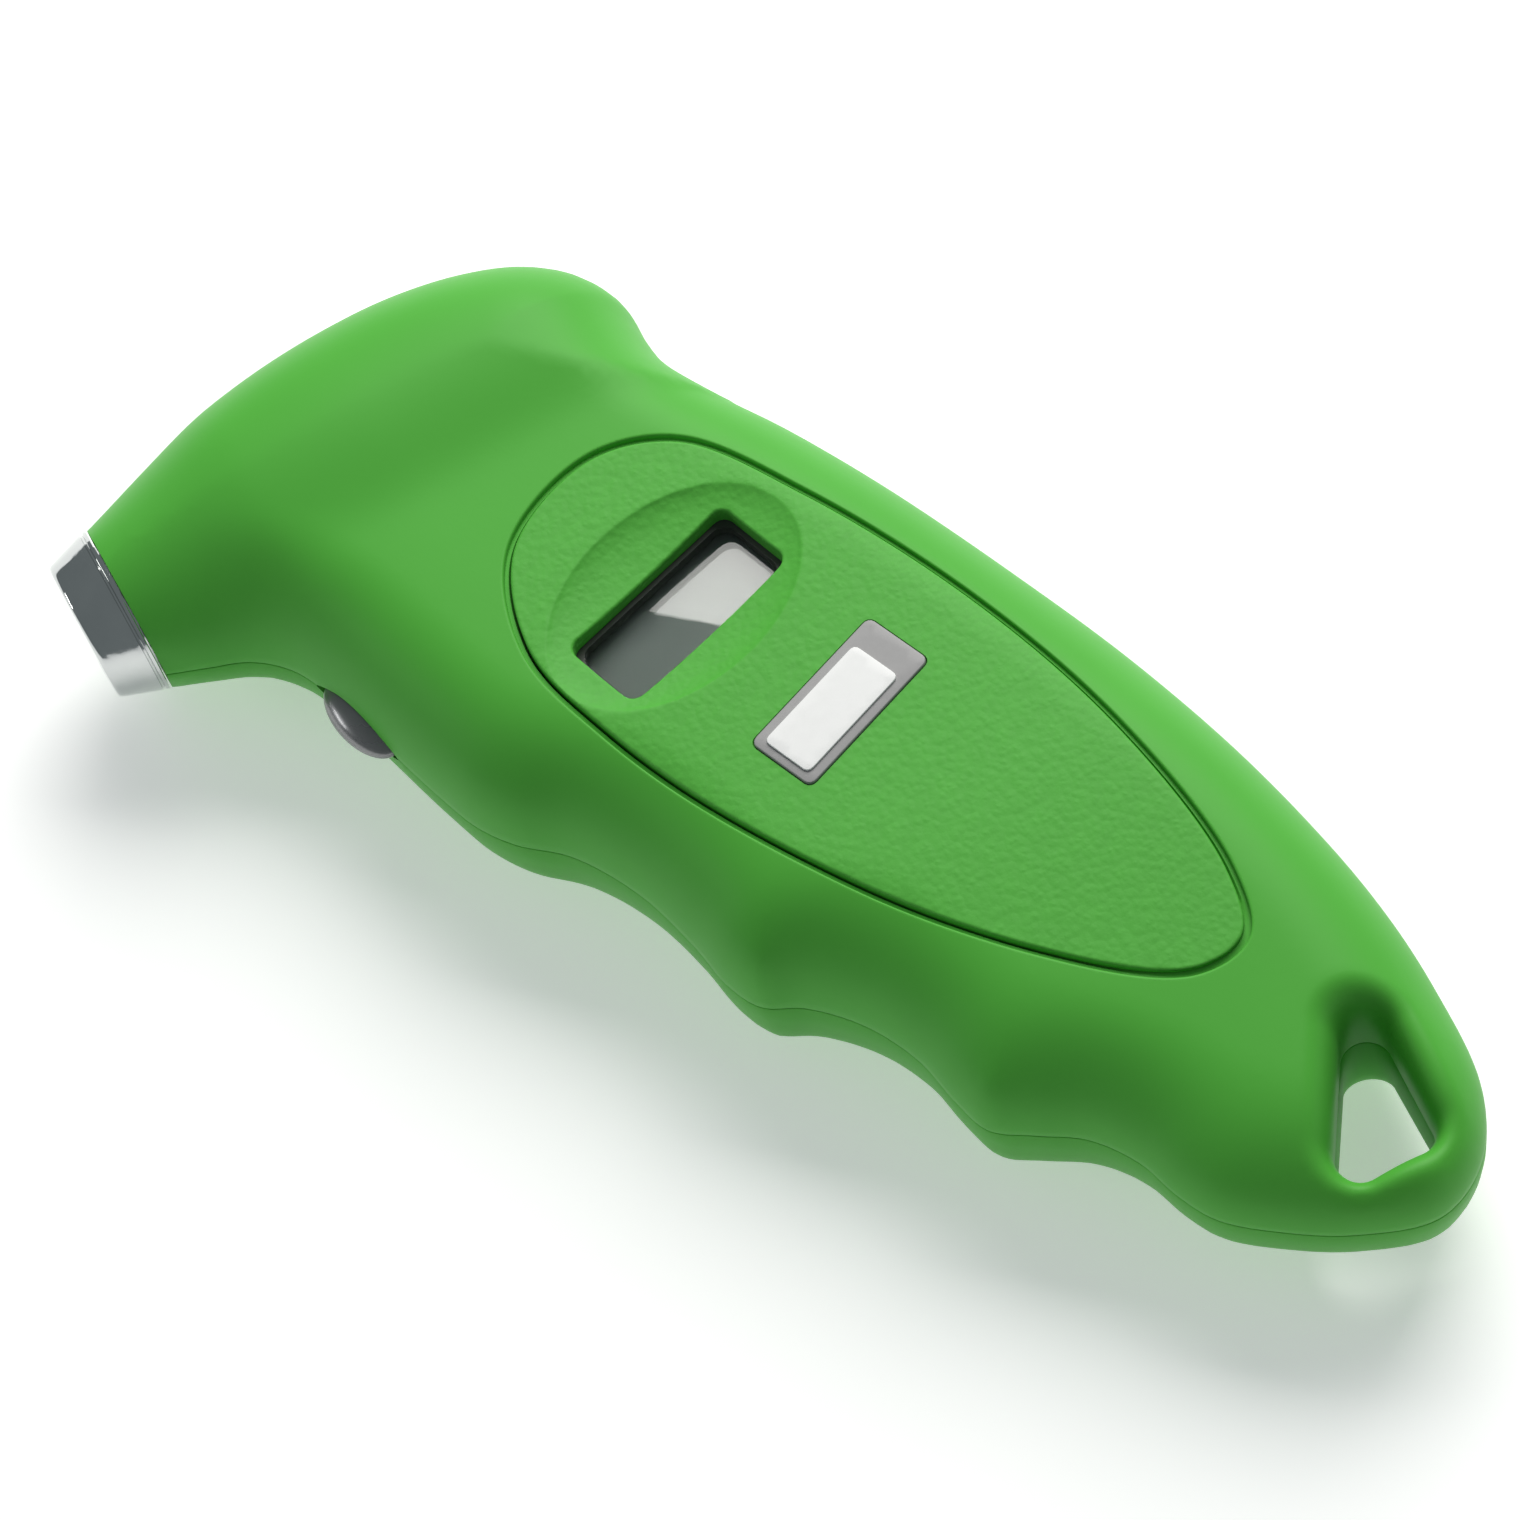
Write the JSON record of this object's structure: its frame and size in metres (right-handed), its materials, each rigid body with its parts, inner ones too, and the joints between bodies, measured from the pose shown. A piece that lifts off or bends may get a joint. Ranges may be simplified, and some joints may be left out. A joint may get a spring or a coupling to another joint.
{
  "type": "tyre pressure gauge",
  "caption": "Pistol-grip digital tyre gauge with a chromed push-on valve chuck, a dished display in a grained panel, a finger button and a lanyard eye.",
  "frame": {"origin": "middle of the bounding box on the plane that the gauge lies on, with its back down", "axes": "+X away from the nozzle mouth along the nozzle axis, +Y from the butt towards the head, +Z out of the display face"},
  "size_m": [0.096, 0.146, 0.0282],
  "materials": {
    "case_green": "satin moulded ABS",
    "panel_green": "fine leather grain",
    "badge_grey": "smooth",
    "label_white": "satin film",
    "clear_window": "polished acrylic",
    "lcd_glass": "polished",
    "black_plastic": "moulded",
    "dark_plastic": "polished",
    "black_rubber": "matt",
    "board": "solder mask",
    "silicone": "matt",
    "chrome": "polished",
    "brass": "turned",
    "steel": "bright"
  },
  "bodies": {
    "case": {"front_shell": "case_green", "rear_shell": "case_green", "face_panel": "panel_green", "badge_plate": "badge_grey", "badge_label": "label_white", "display_window": "clear_window", "window_bezel": "black_plastic", "lcd_module": "lcd_glass", "lcd_frame": "black_plastic", "contact_strip_upper": "black_rubber", "contact_strip_lower": "black_rubber", "circuit_board": "board", "controller_chip": "black_plastic", "pressure_sensor": "black_plastic", "sensor_tube": "silicone", "chuck_collar": "chrome", "chuck_body": "brass", "valve_seal": "black_rubber", "depressor_pin": "brass", "chuck_o_ring": "black_rubber", "switch_body": "black_plastic", "battery_holder": "black_plastic", "coin_cell": "steel", "battery_contact_positive": "steel", "battery_contact_negative": "steel", "case_screw_1": "steel", "case_screw_2": "steel", "case_screw_3": "steel", "case_screw_4": "steel", "board_screw_1": "steel", "board_screw_2": "steel"},
    "button": {"push_button": "dark_plastic"},
    "plunger": {"switch_plunger": "black_rubber"},
    "door": {"battery_door": "case_green"}
  },
  "joints": [
    {"name": "button_press", "type": "slide", "parent": "case", "child": "button", "axis": [0.9839, 0.1788, 0], "range_m": [0, 0.0006], "stiffness_N_per_m": 2000},
    {"name": "plunger_press", "type": "slide", "parent": "case", "child": "plunger", "axis": [0.9839, 0.1788, 0], "range_m": [0, 0.0006]},
    {"name": "door_turn", "type": "hinge", "parent": "case", "child": "door", "pos_m": [0.02198, -0.02336, 0.001], "axis": [0, 0, -1], "range_deg": [0, 45]}
  ],
  "couplings": [
    {"joint": "plunger_press", "follows": "button_press", "ratio": 1}
  ]
}
